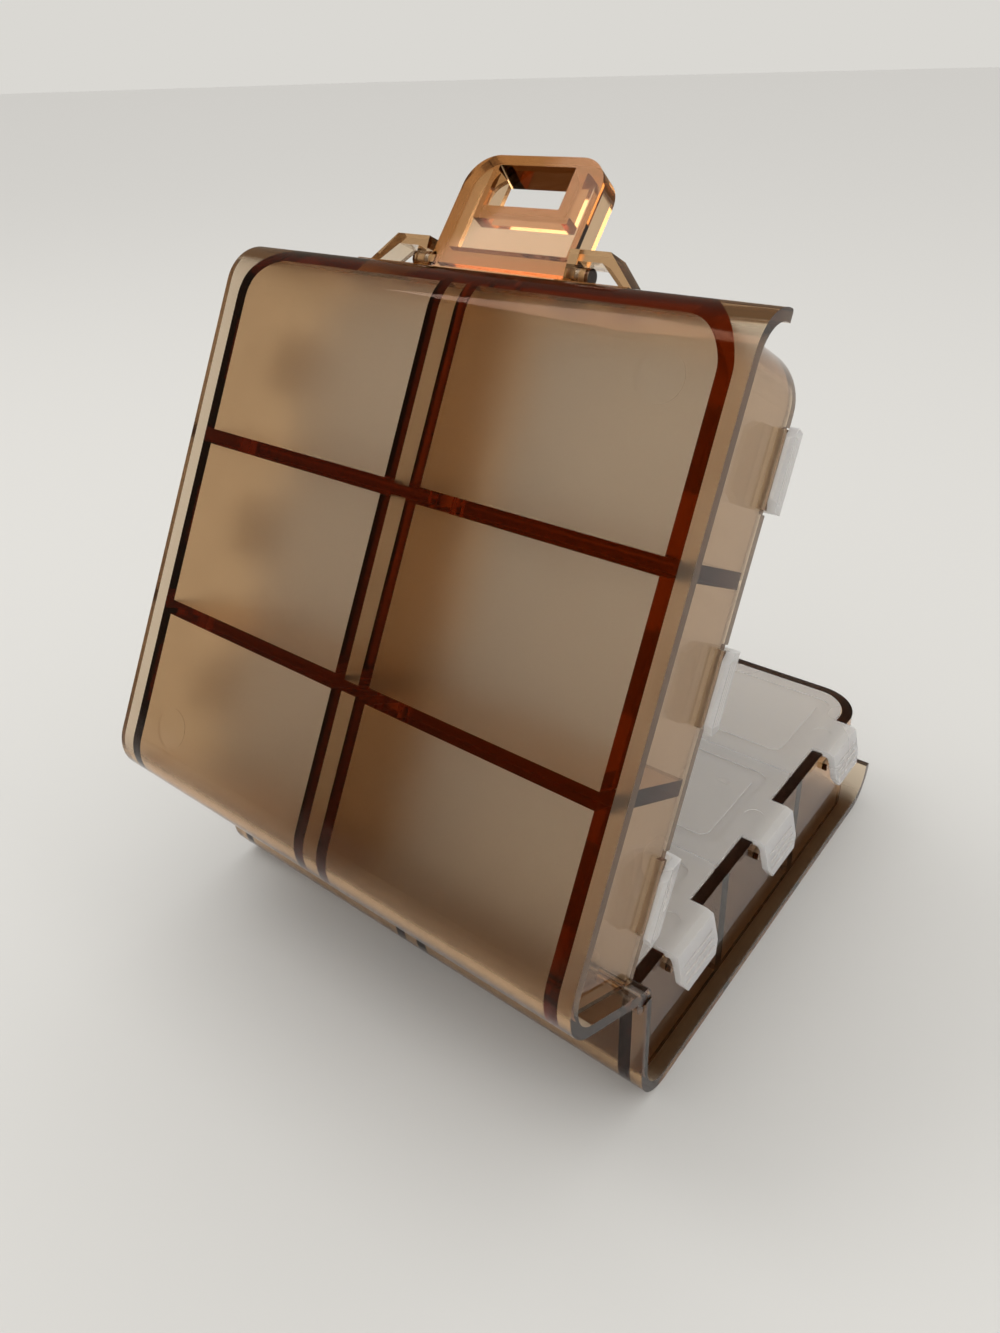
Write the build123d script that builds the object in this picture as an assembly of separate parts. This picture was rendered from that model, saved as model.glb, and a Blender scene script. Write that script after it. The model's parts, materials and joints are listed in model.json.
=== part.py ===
from build123d import *
import math
import os

# Driving sizes in millimetres, read from the outline of the open box.
WIDTH = 100.0            # along the case hinge
LENGTH = 99.4            # hinge wall to latch lip
RIM = 24.6               # outer face to rim of one half
SKIN = 1.8               # base plate, hinge wall and lip
CURL = 8.0               # outer radius of the rolled edges
INSET = 2.6              # side walls stand in from the skin's edge
LIP_LAP = 0.1            # end wall laps into the lip
WALL = 2.2               # side, end and centre walls
CORNER = 9.0             # plan radius of the latch-side corners
CHANNEL = 3.0            # gap between the two centre walls
DIVIDER = 2.6
DIVIDER_AT = (0.327, 0.643)   # share of the length
OPENING = 63.34          # how far the upper half is raised, degrees

# The case hinge: moulded knuckles on two short pins.
AXIS_ABOVE_RIM = 0.7
AXIS_OUT = 0.15
KNUCKLE_R = 2.0
PIN_R = 0.9
PIN_RUN = 0.05           # radial clearance where the pin turns
PIN_BITE = 0.02          # radial bite where the pin is pressed
KNUCKLE_L = 4.4
KNUCKLE_GAP = 0.3
SWEEP_GAP = 0.35         # air around a knuckle in the facing wall

# The small lids.
LID_T = 1.2
LID_PROUD = 0.3
LID_GAP = 0.2
SEAT_GAP = 0.05
LID_PIVOT_U = 2.6
LID_BARREL_R = 0.75
BARREL_GAP = 0.12
TRUNNION_R = 0.45
TRUNNION_L = 1.0
TRUNNION_RUN = 0.05
PANEL_STEP = 0.25
RELIEF_R = 2.2
PANEL_IN = (3.2, 5.2)
TAB_W = 12.0
TAB_T = 1.2
TAB_REACH = 2.5
TAB_DROP = 8.0
TAB_FLARE = 1.3
GRIP_DEEP = 0.3
GRIP_W = 0.6
NOTCH_GAP = 0.4
RIB_OUT = 1.0
RIB_L = 11.6
RIB_BELOW = 2.6          # rim to the top of the rib
RIB_TALL = 1.6
MARK_R = 1.85
MARK_DEEP = 0.1
EJECTOR_R = 3.6
MARK_IN = 12.2           # ejector marks, in from the box's edges

# The flip latch and the ears that hold it.
LATCH_HALF = 13.4
LATCH_LEN = 19.1         # pivot to free end
LATCH_T = 4.6
LATCH_FRONT = 1.3        # pivot to front face
LATCH_HEEL = 2.1
LATCH_SKIN = 1.8
LATCH_RIM = 1.8
LATCH_CORNER = 5.5
WINDOW_HALF = 7.4
WINDOW_S = (9.9, 17.3)
WINDOW_LEAN = 1.2        # the far wall leans in by this at the back
PIVOT_OUT = 1.9          # pivot outside the lip
PIVOT_D = 10.9
LATCH_PIN_R = 1.3
LATCH_PIN_RUN = 0.08
LATCH_REST = 13.9
EAR_IN = 13.8
EAR_T = 1.9
EAR_TOP_OUT = 20.8
EAR_FOOT_OUT = 26.4
EAR_TALL = 5.2
EAR_BAR = 1.7
EAR_D = (8.6, 13.1)
CATCH_W = 10.0
CATCH_GAP = 0.35

DIVIDER_V = tuple(share * LENGTH for share in DIVIDER_AT)
AXIS_D = RIM + AXIS_ABOVE_RIM
KNUCKLE_OUT = WIDTH / 2 - 0.2
KNUCKLE_END = (KNUCKLE_OUT - KNUCKLE_L, KNUCKLE_OUT)
KNUCKLE_MID = tuple(u - KNUCKLE_L - KNUCKLE_GAP for u in KNUCKLE_END)
KNUCKLE_IN = tuple(u - KNUCKLE_L - KNUCKLE_GAP for u in KNUCKLE_MID)
LID_TOP = RIM + LID_PROUD
LID_BOT = LID_TOP - LID_T
SEAT = LID_BOT - SEAT_GAP
SIDE_OUT = WIDTH / 2 - INSET
SIDE_IN = SIDE_OUT - WALL
RIB_D = (RIM - RIB_BELOW - RIB_TALL, RIM - RIB_BELOW)
TAB_OUT = SIDE_OUT + TAB_REACH
END_OUT = LENGTH - SKIN + LIP_LAP
CENTRE_IN = CHANNEL / 2
CENTRE_OUT = CENTRE_IN + WALL
PIVOT_V = LENGTH + PIVOT_OUT
LID_PIVOT_D = LID_TOP - LID_BARREL_R
ROWS = ("near", "middle", "far")


def box(u0, u1, v0, v1, d0, d1):
    """A block given by its limits."""
    size = (u1 - u0, v1 - v0, d1 - d0)
    mid = ((u0 + u1) / 2, (v0 + v1) / 2, (d0 + d1) / 2)
    return Pos(*mid) * Box(*size)


def rod_u(radius, u0, u1, v, d):
    """A round bar along the case hinge's direction."""
    bar = Cylinder(radius, u1 - u0, rotation=(0, 90, 0))
    return Pos((u0 + u1) / 2, v, d) * bar


def rod_v(radius, v0, v1, u, d):
    """A round bar that runs from the hinge side to the latch side."""
    bar = Cylinder(radius, v1 - v0, rotation=(90, 0, 0))
    return Pos(u, (v0 + v1) / 2, d) * bar


def prism_v(radius, sides, v0, v1, u, d):
    """A many-sided bar from the hinge side to the latch side."""
    with BuildSketch(Plane.XZ.offset(-v0)) as sketch:
        with Locations((u, d)):
            RegularPolygon(radius, sides)
    return extrude(sketch.sketch, v0 - v1)


def row_limits(row):
    """Clear length of one compartment row."""
    edges = [SKIN]
    for mid in DIVIDER_V:
        edges += [mid - DIVIDER / 2, mid + DIVIDER / 2]
    edges.append(END_OUT - WALL)
    return edges[2 * row], edges[2 * row + 1]


def row_mid(row):
    """Middle of a row, where its snap tab sits."""
    low, high = row_limits(row)
    return (low + high) / 2


def skin_profile():
    """Section of the wrap-round skin: hinge wall, base and lip."""
    r = CURL - SKIN
    high = RIM
    with BuildSketch(Plane.YZ) as sketch:
        with BuildLine():
            Line((0, high), (0, CURL))
            RadiusArc((0, CURL), (CURL, 0), -CURL)
            Line((CURL, 0), (LENGTH - CURL, 0))
            RadiusArc((LENGTH - CURL, 0), (LENGTH, CURL), -CURL)
            Line((LENGTH, CURL), (LENGTH - SKIN, CURL))
            RadiusArc((LENGTH - SKIN, CURL), (LENGTH - CURL, SKIN), r)
            Line((LENGTH - CURL, SKIN), (CURL, SKIN))
            RadiusArc((CURL, SKIN), (SKIN, CURL), r)
            Line((SKIN, CURL), (SKIN, high))
            Line((SKIN, high), (0, high))
        make_face()
    return sketch.sketch


def inner_profile():
    """Section up to the middle of the skin, used to trim the walls."""
    half = SKIN / 2
    far = LENGTH - half
    r = CURL - half
    with BuildSketch(Plane.YZ) as sketch:
        with BuildLine():
            Line((half, RIM), (half, CURL))
            RadiusArc((half, CURL), (CURL, half), -r)
            Line((CURL, half), (LENGTH - CURL, half))
            RadiusArc((LENGTH - CURL, half), (far, CURL), -r)
            Line((far, CURL), (far, RIM))
            Line((far, RIM), (half, RIM))
        make_face()
    return sketch.sketch


def make_skin():
    """Base plate with its rolled edges, full width."""
    skin = extrude(skin_profile(), WIDTH / 2, both=True)
    lip = skin.edges().filter_by(Axis.X).group_by(Axis.Y)[-1]
    return fillet(lip, 0.5) if len(lip) else skin


def ring_plan(inset, radius):
    """Plan of the walled block, square at the hinge, round at the latch."""
    half = SIDE_OUT - inset
    far = END_OUT - inset
    with BuildSketch() as sketch:
        with BuildLine():
            Line((-half, 0), (half, 0))
            Line((half, 0), (half, far - radius))
            RadiusArc((half, far - radius), (half - radius, far), -radius)
            Line((half - radius, far), (-half + radius, far))
            RadiusArc((-half + radius, far), (-half, far - radius), -radius)
            Line((-half, far - radius), (-half, 0))
        make_face()
    return sketch.sketch


def make_walls():
    """Side walls, end wall, centre walls, dividers and channel ribs."""
    outer = extrude(ring_plan(0, CORNER), RIM)
    inner = extrude(ring_plan(WALL, CORNER - WALL), RIM)
    walls = outer - inner
    for side in (-1, 1):
        near, far = side * CENTRE_IN, side * CENTRE_OUT
        walls += box(min(near, far), max(near, far), 0, END_OUT - 0.5, 0, SEAT)
        for mid in DIVIDER_V:
            low, high = sorted((side * CENTRE_IN, side * (SIDE_OUT - 0.5)))
            walls += box(low, high, mid - DIVIDER / 2, mid + DIVIDER / 2, 0, SEAT)
    for mid in DIVIDER_V:
        walls += box(-CENTRE_OUT, CENTRE_OUT, mid - 0.9, mid + 0.9, 0, SEAT - 1.0)
    return walls & extrude(inner_profile(), WIDTH / 2, both=True)


def lid_posts():
    """Bearing posts on the centre walls for the lid trunnions."""
    spans = [(SKIN - 1.2, SKIN), (END_OUT - WALL, END_OUT - WALL + 1.2)]
    spans += [(mid - DIVIDER / 2, mid + DIVIDER / 2) for mid in DIVIDER_V]
    posts = None
    for side in (-1, 1):
        inner, outer = sorted((side * (CENTRE_IN + 0.05), side * CENTRE_OUT))
        for low, high in spans:
            post = box(inner, outer, low, high, SEAT - 0.6, LID_TOP - 0.1)
            posts = post if posts is None else posts + post
    return posts


def lid_slots():
    """Sockets in the posts, and the wall tops cut down under the barrels."""
    cuts = None
    floor = LID_PIVOT_D - LID_BARREL_R - BARREL_GAP
    for side in (-1, 1):
        u = side * LID_PIVOT_U
        inner, outer = sorted((side * (CENTRE_IN - 0.2), side * (CENTRE_OUT + 0.2)))
        for row in range(3):
            low, high = row_limits(row)
            reach = TRUNNION_L + 0.15
            half = TRUNNION_R + TRUNNION_RUN
            socket = box(u - half, u + half, low - reach, high + reach, LID_PIVOT_D - half, LID_PIVOT_D + half)
            room = box(inner, outer, low, high, floor, LID_TOP)
            cuts = socket + room if cuts is None else cuts + socket + room
    return cuts


def tab_notches():
    """Openings in the side-wall rims for the snap tabs."""
    cuts = None
    half = TAB_W / 2 + NOTCH_GAP
    for side in (-1, 1):
        for row in range(3):
            mid = row_mid(row)
            low, high = sorted((side * (SIDE_IN - 0.5), side * (SIDE_OUT + 0.5)))
            cut = box(low, high, mid - half, mid + half, SEAT, RIM + 1)
            cuts = cut if cuts is None else cuts + cut
    return cuts


def catch_ribs():
    """Snap ribs under the tabs on the outside of the side walls."""
    ribs = None
    for side in (-1, 1):
        for row in range(3):
            mid = row_mid(row)
            low, high = sorted((side * (SIDE_OUT - 0.5), side * (SIDE_OUT + RIB_OUT)))
            rib = box(low, high, mid - RIB_L / 2, mid + RIB_L / 2, *RIB_D)
            ribs = rib if ribs is None else ribs + rib
    return ribs


def ejector_marks():
    """Shallow round ejector marks in the floors."""
    marks = None
    reach = WIDTH / 2 - MARK_IN
    for u, v in ((-reach, LENGTH - MARK_IN), (reach, MARK_IN)):
        disc = Pos(u, v, SKIN) * Cylinder(EJECTOR_R, 2 * MARK_DEEP)
        marks = disc if marks is None else marks + disc
    return marks


def knuckle_bars(spans, radius):
    """Round bars about the case axis on both ends of the hinge."""
    bars = None
    for side in (-1, 1):
        for span in spans:
            low, high = sorted((side * span[0], side * span[1]))
            bar = rod_u(radius, low, high, -AXIS_OUT, AXIS_D)
            bars = bar if bars is None else bars + bar
    return bars


def knuckle_webs(spans):
    """Short webs that tie the knuckles to the hinge wall."""
    webs = None
    for side in (-1, 1):
        for span in spans:
            low, high = sorted((side * span[0], side * span[1]))
            web = box(low, high, 0.0, SKIN, AXIS_D - KNUCKLE_R - 3.0, AXIS_D - 0.2)
            webs = web if webs is None else webs + web
    return webs


def add_hinge(shell, own, other, bore_r):
    """Own knuckles on, room for the facing knuckles out, pin bore through."""
    shell += knuckle_webs(own)
    shell += knuckle_bars(own, KNUCKLE_R)
    grown = [(a - 0.3, b + 0.3) for a, b in other]
    if other[-1][1] > WIDTH / 2 - 1:
        grown[-1] = (grown[-1][0], WIDTH / 2 + 1)
    shell -= knuckle_bars(grown, KNUCKLE_R + SWEEP_GAP)
    shell -= knuckle_bars([(KNUCKLE_IN[0] + 1.0, WIDTH / 2 + 1)], bore_r)
    return shell


def base_half():
    """Everything the two halves share."""
    shell = make_skin() + make_walls() + catch_ribs() + lid_posts()
    shell -= tab_notches()
    shell -= lid_slots()
    shell -= ejector_marks()
    return shell


def catch_hook():
    """Hook on the lower half's end wall for the latch window."""
    tip_s = WINDOW_S[1] - WINDOW_LEAN - CATCH_GAP
    depth = 2 * AXIS_D - PIVOT_D - tip_s
    front = PIVOT_V + LATCH_FRONT - 0.9
    with BuildSketch(Plane.YZ) as sketch:
        with BuildLine():
            Polyline(
                (END_OUT - 0.6, depth),
                (front, depth),
                (front, depth + 0.5),
                (END_OUT - 0.6, RIM),
                close=True,
            )
        make_face()
    return extrude(sketch.sketch, CATCH_W / 2, both=True)


def ear(side):
    """One open trapezoid ear with its bearing wall."""
    foot = LENGTH - SKIN
    top = LENGTH + EAR_TALL
    pts_out = [
        (EAR_IN, foot),
        (EAR_IN, top),
        (EAR_TOP_OUT, top),
        (EAR_FOOT_OUT, LENGTH - 0.3),
        (EAR_FOOT_OUT, foot),
    ]
    pts_in = [
        (EAR_IN + EAR_T, foot + 1.5),
        (EAR_IN + EAR_T, top - EAR_BAR),
        (EAR_TOP_OUT - 0.9, top - EAR_BAR),
        (EAR_FOOT_OUT - 2.2, LENGTH - 0.1),
        (EAR_FOOT_OUT - 2.2, foot + 1.5),
    ]
    solid = extrude_plan(pts_out, side, *EAR_D) - extrude_plan(pts_in, side, *EAR_D)
    foot_bar = box(EAR_IN, EAR_FOOT_OUT, END_OUT - 0.5, LENGTH, CURL - 1.5, EAR_D[1])
    if side < 0:
        foot_bar = box(-EAR_FOOT_OUT, -EAR_IN, END_OUT - 0.5, LENGTH, CURL - 1.5, EAR_D[1])
    return solid + foot_bar


def extrude_plan(points, side, d0, d1):
    """A plan outline raised between two depths, mirrored by side."""
    flat = [(side * u, v) for u, v in points]
    with BuildSketch(Plane.XY.offset(d0)) as sketch:
        with BuildLine():
            Polyline(*flat, close=True)
        make_face()
    return extrude(sketch.sketch, d1 - d0)


def make_lower():
    """The half that lies flat."""
    shell = base_half() + catch_hook()
    return add_hinge(shell, [KNUCKLE_IN, KNUCKLE_END], [KNUCKLE_MID], PIN_R - PIN_BITE)


def make_upper():
    """The half that is raised and carries the latch."""
    shell = base_half()
    for side in (-1, 1):
        shell += ear(side)
    reach = EAR_IN + EAR_T + 1
    shell -= rod_u(LATCH_PIN_R + LATCH_PIN_RUN, -reach, reach, PIVOT_V, PIVOT_D)
    return add_hinge(shell, [KNUCKLE_MID], [KNUCKLE_IN, KNUCKLE_END], PIN_R + PIN_RUN)


def make_pin(side):
    """A short case hinge pin."""
    low, high = sorted((side * (KNUCKLE_IN[0] + 1.1), side * (KNUCKLE_END[1] - 0.1)))
    return rod_u(PIN_R, low, high, -AXIS_OUT, AXIS_D)


def lid_plan(row, inset, half_gap):
    """Plan of one lid, on the +u side, with the latch corner rounded."""
    edges = [SKIN, *DIVIDER_V, END_OUT - WALL]
    low = edges[row] + (LID_GAP if row == 0 else half_gap)
    high = edges[row + 1] - (LID_GAP if row == 2 else half_gap)
    u0, u1 = LID_PIVOT_U, SIDE_IN - LID_GAP
    with BuildSketch() as sketch:
        with Locations(((u0 + u1) / 2, (low + high) / 2)):
            Rectangle(u1 - u0 - 2 * inset, high - low - 2 * inset)
        corners = sketch.vertices().group_by(Axis.X)[-1].sort_by(Axis.Y)
        if row == 2:
            fillet(corners[-1:], max(CORNER - WALL - LID_GAP - inset, 1.0))
        else:
            fillet(corners[-1:], 0.8)
    return sketch.sketch


def lid_body(row):
    """Flat lid with its hinge barrel and trunnions, on the +u side."""
    plate = Pos(0, 0, LID_BOT) * extrude(lid_plan(row, 0, 0.15), LID_T)
    low, high = row_limits(row)
    low, high = low + 0.15, high - 0.15
    keep = box(LID_PIVOT_U - 0.01, CENTRE_OUT + 0.35, -1, low, 0, RIM + 5)
    keep += box(LID_PIVOT_U - 0.01, CENTRE_OUT + 0.35, high, LENGTH, 0, RIM + 5)
    plate -= keep
    barrel = prism_v(LID_BARREL_R, 14, low, high, LID_PIVOT_U, LID_PIVOT_D)
    pins = prism_v(TRUNNION_R, 12, low - TRUNNION_L, high + TRUNNION_L, LID_PIVOT_U, LID_PIVOT_D)
    return plate + barrel + pins


def relief_plan(row, inset):
    """One rounded rectangle of the lid's relief."""
    edges = [SKIN, *DIVIDER_V, END_OUT - WALL]
    low, high = edges[row] + inset, edges[row + 1] - inset
    u0, u1 = LID_PIVOT_U + inset, SIDE_IN - inset
    return Pos((u0 + u1) / 2, (low + high) / 2) * RectangleRounded(u1 - u0, high - low, RELIEF_R)


def lid_relief(row):
    """Shallow framed channel round the lid, read as two rounded lines."""
    ring = relief_plan(row, PANEL_IN[0]) - relief_plan(row, PANEL_IN[1])
    return Pos(0, 0, LID_TOP - PANEL_STEP) * extrude(ring, PANEL_STEP)


def snap_tab(row):
    """Tab plate, bent flange and grip grooves, on the +u side."""
    mid = row_mid(row)
    bend = 1.6
    out_top = TAB_OUT
    out_low = TAB_OUT + TAB_FLARE
    d_low = LID_TOP - TAB_DROP
    with BuildSketch(Plane.XZ.offset(-mid)) as sketch:
        with BuildLine():
            Polyline(
                (SIDE_IN - 1.5, LID_TOP),
                (out_top - bend, LID_TOP),
                (out_top - 0.3, LID_TOP - 0.45),
                (out_top, LID_TOP - bend),
                (out_low, d_low + 0.5),
                (out_low - 0.4, d_low),
                (out_low - TAB_T + 0.2, d_low),
                (out_low - TAB_T - 0.1, d_low + 0.6),
                (out_top - TAB_T, LID_BOT - 0.8),
                (out_top - TAB_T - 0.5, LID_BOT),
                (SIDE_IN - 1.5, LID_BOT),
                close=True,
            )
        make_face()
    tab = extrude(sketch.sketch, TAB_W / 2, both=True)
    for end in (-1, 1):
        tab -= chamfer_block(mid, end, d_low)
    for k in range(3):
        d = LID_TOP - 2.9 - 1.5 * k
        u = out_top + TAB_FLARE * (LID_TOP - d) / TAB_DROP
        reach = TAB_W / 2 - 1.2
        tab -= box(u - GRIP_DEEP, u + 1, mid - reach, mid + reach, d - GRIP_W / 2, d + GRIP_W / 2)
    with BuildSketch(Plane.XY.offset(LID_TOP - MARK_DEEP)) as disc:
        with Locations((SIDE_IN - 0.6, mid)):
            RegularPolygon(MARK_R, 20)
    mark = extrude(disc.sketch, 1.0)
    return tab, mark


def chamfer_block(mid, end, d_low):
    """Wedge that takes the lower corner off the flange."""
    edge = mid + end * TAB_W / 2
    with BuildSketch(Plane.YZ.offset(SIDE_OUT)) as sketch:
        with BuildLine():
            Polyline(
                (edge + end * 1.0, d_low - 1.0),
                (edge - end * 1.7, d_low - 1.0),
                (edge - end * 1.7, d_low),
                (edge, d_low + 2.4),
                (edge + end * 1.0, d_low + 2.4),
                close=True,
            )
        make_face()
    return extrude(sketch.sketch, 8)


def make_lid(row):
    """One compartment lid on the +u side."""
    tab, mark = snap_tab(row)
    body = lid_body(row) + tab
    body -= lid_relief(row)
    return body - mark


def latch_window(back):
    """Through window whose far wall leans toward the pivot at the back."""
    near, far = WINDOW_S
    with BuildSketch(Plane.YZ) as sketch:
        with BuildLine():
            Polyline(
                (near, back - 0.01),
                (far - WINDOW_LEAN, back - 0.01),
                (far, LATCH_FRONT + 0.01),
                (near, LATCH_FRONT + 0.01),
                close=True,
            )
        make_face()
    return extrude(sketch.sketch, WINDOW_HALF, both=True)


def make_latch():
    """Flip latch in its own frame: pivot at the origin, +Y to the free end."""
    back = LATCH_FRONT - LATCH_T
    with BuildSketch(Plane.XY) as outline:
        with Locations((0, (LATCH_LEN - LATCH_HEEL) / 2)):
            Rectangle(2 * LATCH_HALF, LATCH_LEN + LATCH_HEEL)
        tops = outline.vertices().group_by(Axis.Y)[-1]
        fillet(tops, LATCH_CORNER)
        feet = outline.vertices().group_by(Axis.Y)[0]
        fillet(feet, 0.8)
    body = Pos(0, 0, back) * extrude(outline.sketch, LATCH_T)
    heel = LATCH_FRONT + 0.8
    side_cut = box(-50, 50, -LATCH_HEEL - 1, 0, back - 1, -heel)
    body -= side_cut
    with BuildSketch(Plane.XY) as pan:
        with Locations((0, (LATCH_LEN - LATCH_RIM + 2.6) / 2)):
            Rectangle(2 * (LATCH_HALF - LATCH_RIM), LATCH_LEN - LATCH_RIM - 2.6)
        fillet(pan.vertices().group_by(Axis.Y)[-1], LATCH_CORNER - LATCH_RIM)
    hollow = Pos(0, 0, back) * extrude(pan.sketch, LATCH_T - LATCH_SKIN)
    frame_w = WINDOW_HALF + LATCH_RIM
    frame_box = box(-frame_w, frame_w, WINDOW_S[0] - LATCH_RIM, WINDOW_S[1] + LATCH_RIM, back, LATCH_FRONT)
    body -= hollow - frame_box
    body -= latch_window(back)
    pin_reach = EAR_IN + EAR_T + 1.6
    body += rod_u(LATCH_PIN_R, -pin_reach, pin_reach, 0, 0)
    return mirror(body, about=Plane.XY)


def stand(shape):
    """From a half's own frame to the row frame, lying flat."""
    return Pos(0, -LENGTH / 2, 0) * shape


def raise_up(shape):
    """From a half's own frame to the raised position."""
    y, z = -LENGTH / 2 - AXIS_OUT, AXIS_D
    closed = Pos(0, -LENGTH / 2, 2 * AXIS_D) * Rot(0, 180, 0) * shape
    return Pos(0, y, z) * Rot(OPENING, 0, 0) * Pos(0, -y, -z) * closed


def place_latch(shape):
    """Latch turned to its rest angle at its pivot on the upper half."""
    turned = Rot(LATCH_REST, 0, 0) * shape
    return raise_up(Pos(0, PIVOT_V, PIVOT_D) * turned)


def save(shape, name):
    """Write one piece as its own file."""
    solid = shape.solids()
    body = solid[0] if len(solid) == 1 else Compound(children=list(solid))
    body.label = name
    export_step(body, os.path.join("parts", name + ".step"))


def main():
    os.makedirs("parts", exist_ok=True)
    save(stand(make_lower()), "lower_shell")
    save(raise_up(make_upper()), "upper_shell")
    save(stand(make_pin(-1)), "hinge_pin_left")
    save(stand(make_pin(1)), "hinge_pin_right")
    save(place_latch(make_latch()), "latch")
    for row, place in enumerate(ROWS):
        right = make_lid(row)
        left = mirror(right, about=Plane.YZ)
        save(stand(right), "lower_lid_right_" + place)
        save(stand(left), "lower_lid_left_" + place)
        save(raise_up(left), "upper_lid_right_" + place)
        save(raise_up(right), "upper_lid_left_" + place)


main()
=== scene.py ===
import json

import bpy
from bpy.props import FloatProperty, PointerProperty, StringProperty
from bpy.types import Operator, Panel, PropertyGroup
from mathutils import Matrix, Vector

bl_info = {
    "name": "Compartment storage box",
    "version": (1, 0, 0),
    "blender": (4, 5, 0),
    "location": "View3D > Sidebar > Storage box",
    "description": "Finishes of a two-sided storage box with lidded compartments and a flip latch",
    "category": "Object",
}

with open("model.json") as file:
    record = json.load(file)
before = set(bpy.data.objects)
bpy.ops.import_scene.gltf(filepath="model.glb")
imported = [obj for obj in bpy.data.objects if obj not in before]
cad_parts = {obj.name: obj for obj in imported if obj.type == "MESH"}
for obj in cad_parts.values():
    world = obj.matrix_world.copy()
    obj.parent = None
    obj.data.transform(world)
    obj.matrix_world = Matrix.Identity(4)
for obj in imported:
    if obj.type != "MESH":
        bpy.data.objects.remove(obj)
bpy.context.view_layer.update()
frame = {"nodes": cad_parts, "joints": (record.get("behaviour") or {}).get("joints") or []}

MM = 0.001
PINS = ("hinge_pin_left", "hinge_pin_right")
LIDS = tuple(n for n in frame["nodes"] if "_lid_" in n)
UPWARD = (0.0, 0.0, 1.0)

# How much each plastic bends light.
IOR_POLYSTYRENE = 1.59
IOR_POLYPROPYLENE = 1.49
IOR_ACETAL = 1.48

# Roughness from the least to the most handled places, and the marks' size in mm.
CASE_GLOSS = (0.03, 0.09)
CASE_MARKS_MM = 9.0
LID_GLOSS_SPREAD = (-0.04, 0.05)
LID_MARKS_MM = 16.0
PIN_GLOSS = (0.25, 0.4)
PIN_MARKS_MM = 1.5

# Each noise has its own seed, so that no two patterns lie over each other.
RIPPLE_SEED = 3.0
CASE_SEED = 7.0
LID_SEED = 5.0
PIN_SEED = 2.0

# Share of the noise that spreads over the roughness range.
NOISE_LOW, NOISE_HIGH = 0.35, 0.7

# A face that looks this squarely toward the rim starts to be, and is, the core's.
CORE_STARTS, CORE_FULL = 0.7, 0.95

# Tint strength beside the shells' own: the flap is a thick piece, and its tint is deepened further
# as painted shade, a darker copy of the same plastic that stands in for darker surroundings seen
# through it.
SHELL_STRENGTH = 1.0
LATCH_PAINTED_SHADE_STRENGTH = 1.7

# The stage, in metres.
FLOOR_SIZE = 60.0
FLOOR_DROP = 0.0002
LAMP_AIM = (0.0, 0.0, 0.05)
KEY_PLACE = (-0.45, -0.35, 0.85)
KEY_SIZE = 0.35
FILL_PLACE = (0.8, 0.1, 0.5)
FILL_SIZE = 0.3
CLIP_START = 0.005

# What the backdrop shows, and the dimmer room that gloss reflects.
BACKDROP = "#DAD8D3"
ROOM = "#8C7F72"
ROOM_STRENGTH = 0.7

# The camera, solved from the box's own edges in the photograph's frame.
VIEW_PLACE = (0.0999, -0.1431, 0.1495)
VIEW_AHEAD = (-0.5599, 0.6991, -0.4447)
VIEW_UP = (-0.2563, 0.3643, 0.8953)
VIEW_LENS = 26.92
VIEW_SENSOR = 36.0
VIEW_SHIFT = (-0.0025, -0.0729)


def tint(code):
    """Linear colour of an sRGB hex value."""
    parts = [int(code[i:i + 2], 16) / 255 for i in (1, 3, 5)]
    return [c / 12.92 if c <= 0.04045 else ((c + 0.055) / 1.055) ** 2.4 for c in parts] + [1.0]


def node(tree, kind, settings=None, values=None, links=None):
    """Adds a node, sets it up and links its inputs."""
    made = tree.nodes.new(kind)
    for key, value in (settings or {}).items():
        setattr(made, key, value)
    for key, value in (values or {}).items():
        made.inputs[key].default_value = value
    for key, source in (links or {}).items():
        tree.links.new(source, made.inputs[key])
    return made


def fresh(name):
    """An empty node material with its output."""
    made = bpy.data.materials.new(name)
    made.use_nodes = True
    made.node_tree.nodes.clear()
    output = made.node_tree.nodes.new("ShaderNodeOutputMaterial")
    return made, made.node_tree, output


def moulding_ripple(tree, size_mm, height_mm, seed):
    """Long soft waves that a polished mould leaves in a thin wall."""
    place = node(tree, "ShaderNodeTexCoord")
    noise = node(
        tree, "ShaderNodeTexNoise", {"noise_dimensions": "4D"},
        {"W": seed, "Scale": 1.0 / (size_mm * MM), "Detail": 1.0},
        {"Vector": place.outputs["Object"]},
    )
    return node(
        tree, "ShaderNodeBump", None,
        {"Strength": 1.0, "Distance": height_mm * MM},
        {"Height": noise.outputs["Fac"]},
    )


def roughness_map(tree, span, size_mm, seed):
    """Handling marks: the gloss changes a little from place to place."""
    low, high = span
    place = node(tree, "ShaderNodeTexCoord")
    noise = node(
        tree, "ShaderNodeTexNoise", {"noise_dimensions": "4D"},
        {"W": seed, "Scale": 1.0 / (size_mm * MM), "Detail": 2.0},
        {"Vector": place.outputs["Object"]},
    )
    return node(
        tree, "ShaderNodeMapRange", None,
        {"From Min": NOISE_LOW, "From Max": NOISE_HIGH, "To Min": low, "To Max": high},
        {"Value": noise.outputs["Fac"]},
    )


def facing(tree, up):
    """How squarely a face looks along up, from -1 to 1.
    The normal turns toward the viewer when light leaves the plastic, so the side that
    is hit turns it back."""
    place = node(tree, "ShaderNodeTexCoord")
    seen = node(
        tree, "ShaderNodeVectorMath", {"operation": "DOT_PRODUCT"}, {1: up},
        {0: place.outputs["Normal"]},
    )
    shape = node(tree, "ShaderNodeNewGeometry")
    side = node(
        tree, "ShaderNodeMath", {"operation": "MULTIPLY_ADD"}, {1: -2.0, 2: 1.0},
        {0: shape.outputs["Backfacing"]},
    )
    return node(
        tree, "ShaderNodeMath", {"operation": "MULTIPLY"}, None,
        {0: seen.outputs["Value"], 1: side.outputs[0]},
    )


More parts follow.
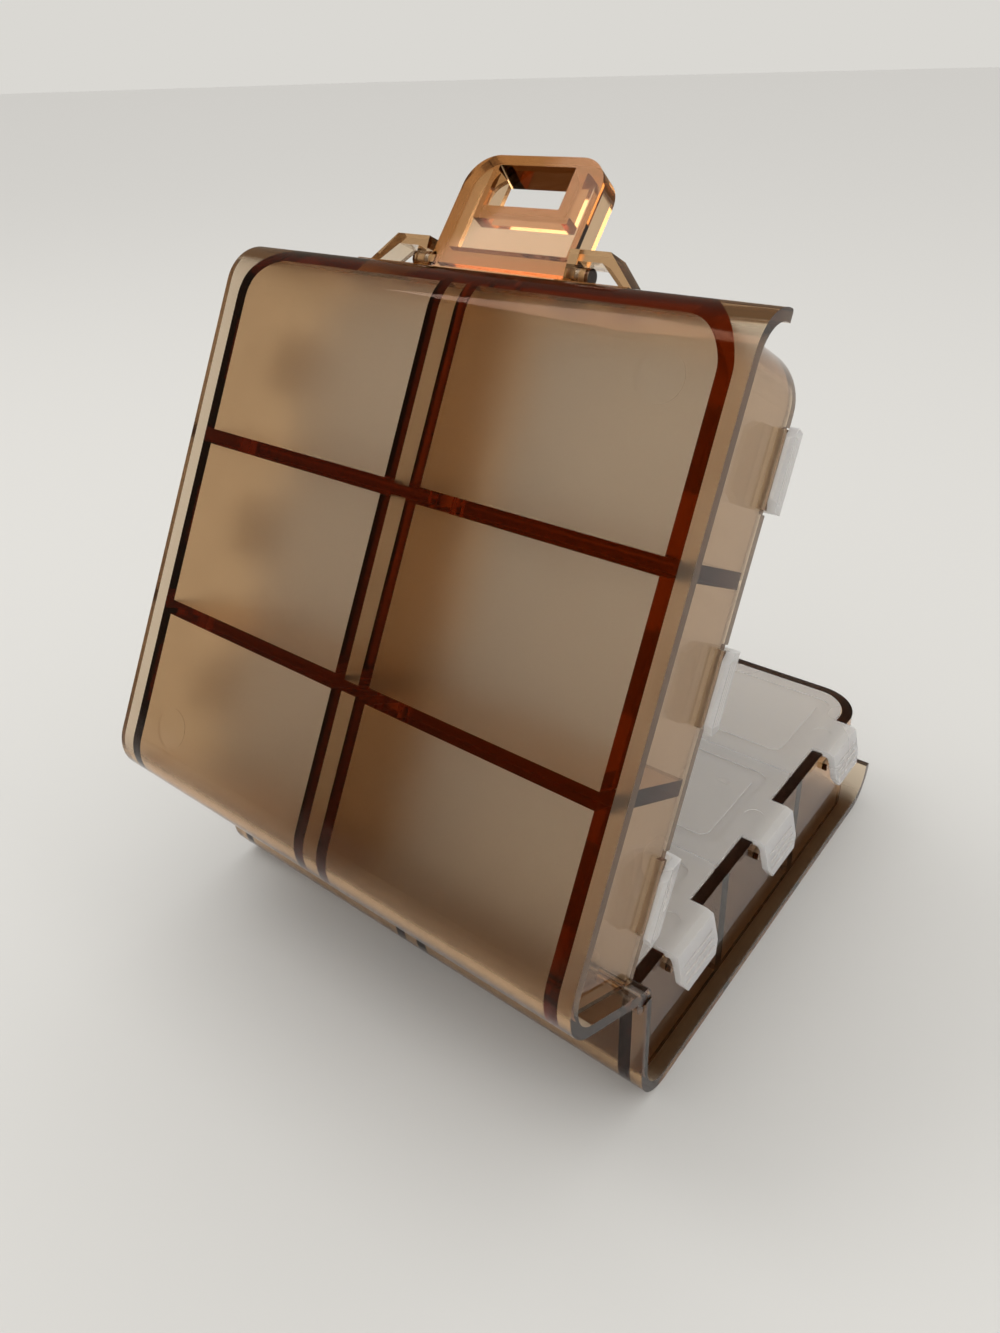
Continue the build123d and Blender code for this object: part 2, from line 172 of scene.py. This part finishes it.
def amber_polystyrene(name, looks, strength, up, sparked):
    """Crystal polystyrene tinted amber, injection moulded.
    Clear and glossy: a plate is light tan, a wall seen end-on is deep red-brown.
    Faces toward the rim, such as compartment floors, come off a spark-eroded core and
    have the roughness sparked added, so the view through a plate is soft."""
    made, tree, output = fresh(name)
    ripple = moulding_ripple(tree, looks.ripple_mm, looks.ripple_high_mm, RIPPLE_SEED)
    gloss = roughness_map(tree, CASE_GLOSS, CASE_MARKS_MM, CASE_SEED)
    haze = node(
        tree, "ShaderNodeMapRange", {"interpolation_type": "SMOOTHSTEP"},
        {"From Min": CORE_STARTS, "From Max": CORE_FULL, "To Min": 0.0, "To Max": sparked},
        {"Value": facing(tree, up).outputs["Value"]},
    )
    rough = node(
        tree, "ShaderNodeMath", {"operation": "ADD"}, None,
        {0: gloss.outputs["Result"], 1: haze.outputs["Result"]},
    )
    surface = node(
        tree, "ShaderNodeBsdfPrincipled", None,
        {
            "Base Color": tint("#FFFDFA"),
            "IOR": IOR_POLYSTYRENE,
            "Transmission Weight": 1.0,
            "Specular IOR Level": 0.3,
            "Specular Tint": tint("#A8724F"),
        },
        {"Roughness": rough.outputs[0], "Normal": ripple.outputs["Normal"]},
    )
    depth = node(
        # For the latch, strength deepens the tint as painted shade; the shells keep their own.
        tree, "ShaderNodeVolumeAbsorption", None,
        {"Color": tint(looks.tint), "Density": looks.density * strength},
    )
    tree.links.new(surface.outputs[0], output.inputs["Surface"])
    tree.links.new(depth.outputs[0], output.inputs["Volume"])
    return made


def natural_polypropylene(name, looks, up):
    """Uncoloured polypropylene, injection moulded and thin.
    Milky: light passes but the view through it is soft. Edges, steps and the turned-down tab
    gather light and look whiter than the flat of the lid; that whiteness is a painted highlight in
    the base colour."""
    made, tree, output = fresh(name)
    span = [looks.roughness + part for part in LID_GLOSS_SPREAD]
    rough = roughness_map(tree, span, LID_MARKS_MM, LID_SEED)
    # Painted highlight: faces that turn from the rim's direction, such as edges, steps and the
    # tab, get the white highlight colour in place of the lid's own colour.
    flat = node(
        tree, "ShaderNodeMath", {"operation": "ABSOLUTE"}, None,
        {0: facing(tree, up).outputs["Value"]},
    )
    colour = node(
        tree, "ShaderNodeMix", {"data_type": "RGBA"},
        {"A": tint(looks.glow_and_edge_highlight_colour), "B": tint(looks.colour)},
        {"Factor": flat.outputs[0]},
    )
    surface = node(
        tree, "ShaderNodeBsdfPrincipled", None,
        {
            "IOR": IOR_POLYPROPYLENE,
            "Transmission Weight": looks.clear,
            "Subsurface Weight": 1.0,
            "Subsurface Radius": (1.0, 1.0, 0.95),
            "Subsurface Scale": looks.depth_mm * MM,
        },
        {"Base Color": colour.outputs["Result"], "Roughness": rough.outputs["Result"]},
    )
    # The same white is also the colour that glows through the milky plastic.
    milk = node(tree, "ShaderNodeBsdfTranslucent", None, {"Color": tint(looks.glow_and_edge_highlight_colour)})
    mix = node(
        tree, "ShaderNodeMixShader", None, {"Fac": looks.milk},
        {1: surface.outputs[0], 2: milk.outputs[0]},
    )
    tree.links.new(mix.outputs[0], output.inputs["Surface"])
    return made


def dark_acetal(name):
    """Dark acetal rod for the hinge pins, drawn and cut: satin, slightly waxy."""
    made, tree, output = fresh(name)
    rough = roughness_map(tree, PIN_GLOSS, PIN_MARKS_MM, PIN_SEED)
    surface = node(
        tree, "ShaderNodeBsdfPrincipled", None,
        {"Base Color": tint("#2A120A"), "IOR": IOR_ACETAL},
        {"Roughness": rough.outputs["Result"]},
    )
    tree.links.new(surface.outputs[0], output.inputs["Surface"])
    return made


def matt_paper(name, colour):
    """Seamless studio paper: matt and even."""
    made, tree, output = fresh(name)
    surface = node(
        tree, "ShaderNodeBsdfPrincipled", None,
        {"Base Color": tint(colour), "Roughness": 0.9},
    )
    tree.links.new(surface.outputs[0], output.inputs["Surface"])
    return made


def raised_normal():
    """Direction out of the raised half's rim: square to its lids' hinge axes and to
    the case hinge along X, and turned to the lying half."""
    joints = frame["joints"]
    along = next(j["axis"] for j in joints if j["name"].startswith("upper_lid_right"))
    out = Vector(along).cross(Vector((1.0, 0.0, 0.0))).normalized()
    return tuple(out if out.y > 0 else -out)


def halves():
    """Each half's name and the direction out of its rim."""
    return (("lower", UPWARD), ("upper", raised_normal()))


def dress(names, material):
    """Gives CAD nodes one finish, keeping their mesh as it is."""
    for name in names:
        piece = frame["nodes"][name]
        piece.data.materials.clear()
        piece.data.materials.append(material)


class CaseLooks(PropertyGroup):
    tint: StringProperty(
        name="Tint",
        description="Colour that the plastic lets through",
        default="#E8C88E",
    )
    density: FloatProperty(
        name="Tint density",
        description="How fast the tint deepens, per metre",
        default=420.0, min=0,
    )
    ripple_mm: FloatProperty(
        name="Ripple length",
        description="Length of the mould's waves in mm",
        default=14.0, min=1,
    )
    ripple_high_mm: FloatProperty(
        name="Ripple height",
        description="Height of the waves in mm",
        default=0.03, min=0,
    )
    sparked: FloatProperty(
        name="Core haze",
        description="Roughness of the faces that the core forms",
        default=0.42, min=0, max=1, subtype="FACTOR",
    )


class LidLooks(PropertyGroup):
    colour: StringProperty(
        name="Lid colour",
        description="Colour of the milky plastic",
        default="#FCF3EC",
    )
    # Painted highlight colour, painted on edges, steps and the tab; it is also the colour that
    # glows through.
    glow_and_edge_highlight_colour: StringProperty(
        name="Edge colour",
        description="Colour of steps and cut edges",
        default="#FFFFFF",
    )
    clear: FloatProperty(
        name="Clearness",
        description="Share of the light that passes",
        default=0.48, min=0, max=1, subtype="FACTOR",
    )
    milk: FloatProperty(
        name="Milk",
        description="Share of the light that glows through",
        default=0.42, min=0, max=1, subtype="FACTOR",
    )
    depth_mm: FloatProperty(
        name="Milkiness depth",
        description="How far light spreads in the plastic, in mm",
        default=1.5, min=0,
    )
    roughness: FloatProperty(
        name="Lid roughness",
        description="How soft the view through a lid is",
        default=0.24, min=0, max=1, subtype="FACTOR",
    )


class StageLooks(PropertyGroup):
    floor: StringProperty(
        name="Floor colour",
        description="Colour of the paper floor",
        default="#CDCBC6",
    )
    sky: FloatProperty(
        name="Sky light",
        description="Strength of the even light",
        default=1.12, min=0,
    )
    key: FloatProperty(
        name="Key lamp",
        description="Power of the large soft lamp",
        default=1.6, min=0, unit="POWER",
    )
    fill: FloatProperty(
        name="Fill lamp",
        description="Power of the side lamp",
        default=0.6, min=0, unit="POWER",
    )


class STORAGE_OT_halves(Operator):
    """Finish both half shells in tinted polystyrene"""
    bl_idname = "storage.halves"
    bl_label = "Half shells"

    def execute(self, context):
        looks = context.scene.case_looks
        for half, up in halves():
            shell = half + "_shell"
            plastic = amber_polystyrene(
                "amber_polystyrene_" + shell, looks, SHELL_STRENGTH, up, looks.sparked
            )
            dress([shell], plastic)
        return {"FINISHED"}


class STORAGE_OT_latch(Operator):
    """Finish the flip latch in the same plastic as the shells, its tint deepened as painted shade
    """
    bl_idname = "storage.latch"
    bl_label = "Flip latch"

    def execute(self, context):
        looks = context.scene.case_looks
        # The latch's tint density is raised as painted shade, darker than the shells' own.
        plastic = amber_polystyrene(
            "amber_polystyrene_latch", looks, LATCH_PAINTED_SHADE_STRENGTH, UPWARD, sparked=0.0
        )
        dress(["latch"], plastic)
        return {"FINISHED"}


class STORAGE_OT_pins(Operator):
    """Finish the case hinge pins"""
    bl_idname = "storage.pins"
    bl_label = "Hinge pins"

    def execute(self, context):
        dress(PINS, dark_acetal("dark_acetal_rod"))
        return {"FINISHED"}


class STORAGE_OT_lids(Operator):
    """Finish the compartment lids in milky polypropylene"""
    bl_idname = "storage.lids"
    bl_label = "Compartment lids"

    def execute(self, context):
        looks = context.scene.lid_looks
        for half, up in halves():
            names = [n for n in LIDS if n.startswith(half)]
            plastic = natural_polypropylene("natural_polypropylene_" + half, looks, up)
            dress(names, plastic)
        return {"FINISHED"}


def soft_lamp(name, place, aim, size, power):
    """A large square lamp that faces a point."""
    data = bpy.data.lights.new(name, "AREA")
    data.shape = "SQUARE"
    data.size = size
    data.energy = power
    lamp = bpy.data.objects.new(name, data)
    lamp.location = place
    lamp.rotation_euler = (Vector(aim) - Vector(place)).to_track_quat("-Z", "Y").to_euler()
    bpy.context.collection.objects.link(lamp)


def background(tree, colour, strength):
    """One even surround."""
    return node(
        tree, "ShaderNodeBackground", None, {"Color": tint(colour), "Strength": strength}
    )


def pale_world(strength):
    """Even light. The camera and the view through plastic see a pale backdrop in its
    place, and gloss reflects a dimmer, warmer room."""
    world = bpy.data.worlds.new("pale_sky")
    world.use_nodes = True
    tree = world.node_tree
    tree.nodes.clear()
    path = node(tree, "ShaderNodeLightPath")
    direct = node(
        tree, "ShaderNodeMath", {"operation": "MAXIMUM"}, None,
        {0: path.outputs["Is Camera Ray"], 1: path.outputs["Is Glossy Ray"]},
    )
    visible = node(
        tree, "ShaderNodeMath", {"operation": "MAXIMUM"}, None,
        {0: direct.outputs[0], 1: path.outputs["Is Transmission Ray"]},
    )
    light = background(tree, "#FFFFFF", strength)
    backdrop = background(tree, BACKDROP, 1.0)
    room = background(tree, ROOM, ROOM_STRENGTH)
    seen = node(
        tree, "ShaderNodeMixShader", None, None,
        {"Fac": path.outputs["Is Glossy Ray"], 1: backdrop.outputs[0], 2: room.outputs[0]},
    )
    mix = node(
        tree, "ShaderNodeMixShader", None, None,
        {"Fac": visible.outputs[0], 1: light.outputs[0], 2: seen.outputs[0]},
    )
    node(tree, "ShaderNodeOutputWorld", None, None, {"Surface": mix.outputs[0]})
    bpy.context.scene.world = world


def photo_camera():
    """The camera at the photograph's place and angle."""
    data = bpy.data.cameras.new("photo_view")
    data.sensor_fit = "VERTICAL"
    data.sensor_height = VIEW_SENSOR
    data.lens = VIEW_LENS
    data.shift_x, data.shift_y = VIEW_SHIFT
    data.clip_start = CLIP_START
    camera = bpy.data.objects.new("photo_view", data)
    ahead = Vector(VIEW_AHEAD).normalized()
    right = ahead.cross(Vector(VIEW_UP)).normalized()
    up = right.cross(ahead)
    turn = Matrix((right, up, -ahead)).transposed().to_4x4()
    camera.matrix_world = Matrix.Translation(VIEW_PLACE) @ turn
    bpy.context.collection.objects.link(camera)
    bpy.context.scene.camera = camera


class STORAGE_OT_stage(Operator):
    """Set up the floor, the soft light and the camera"""
    bl_idname = "storage.stage"
    bl_label = "Stage"

    def execute(self, context):
        looks = context.scene.stage_looks
        bpy.ops.mesh.primitive_plane_add(size=FLOOR_SIZE, location=(0, 0, -FLOOR_DROP))
        floor = context.object
        floor.name = "floor"
        floor.data.materials.append(matt_paper("studio_paper", looks.floor))
        pale_world(looks.sky)
        soft_lamp("key_lamp", KEY_PLACE, LAMP_AIM, KEY_SIZE, looks.key)
        soft_lamp("fill_lamp", FILL_PLACE, LAMP_AIM, FILL_SIZE, looks.fill)
        photo_camera()
        context.scene.view_settings.view_transform = "Standard"
        return {"FINISHED"}


class STORAGE_PT_panel(Panel):
    bl_idname = "STORAGE_PT_panel"
    bl_label = "Storage box"
    bl_space_type = "VIEW_3D"
    bl_region_type = "UI"
    bl_category = "Storage box"

    def draw(self, context):
        for name in ("case_looks", "lid_looks", "stage_looks"):
            group = getattr(context.scene, name)
            for key in group.__annotations__:
                self.layout.prop(group, key)
        for step in STEPS:
            self.layout.operator(step.bl_idname)


STEPS = (STORAGE_OT_halves, STORAGE_OT_latch, STORAGE_OT_pins, STORAGE_OT_lids, STORAGE_OT_stage)
GROUPS = (CaseLooks, LidLooks, StageLooks)
CLASSES = GROUPS + STEPS + (STORAGE_PT_panel,)


def register():
    for item in CLASSES:
        bpy.utils.register_class(item)
    bpy.types.Scene.case_looks = PointerProperty(type=CaseLooks)
    bpy.types.Scene.lid_looks = PointerProperty(type=LidLooks)
    bpy.types.Scene.stage_looks = PointerProperty(type=StageLooks)


def unregister():
    for name in ("case_looks", "lid_looks", "stage_looks"):
        delattr(bpy.types.Scene, name)
    for item in reversed(CLASSES):
        bpy.utils.unregister_class(item)


def main():
    register()
    bpy.ops.storage.halves()
    bpy.ops.storage.latch()
    bpy.ops.storage.pins()
    bpy.ops.storage.lids()
    bpy.ops.storage.stage()


if __name__ == "__main__":
    main()
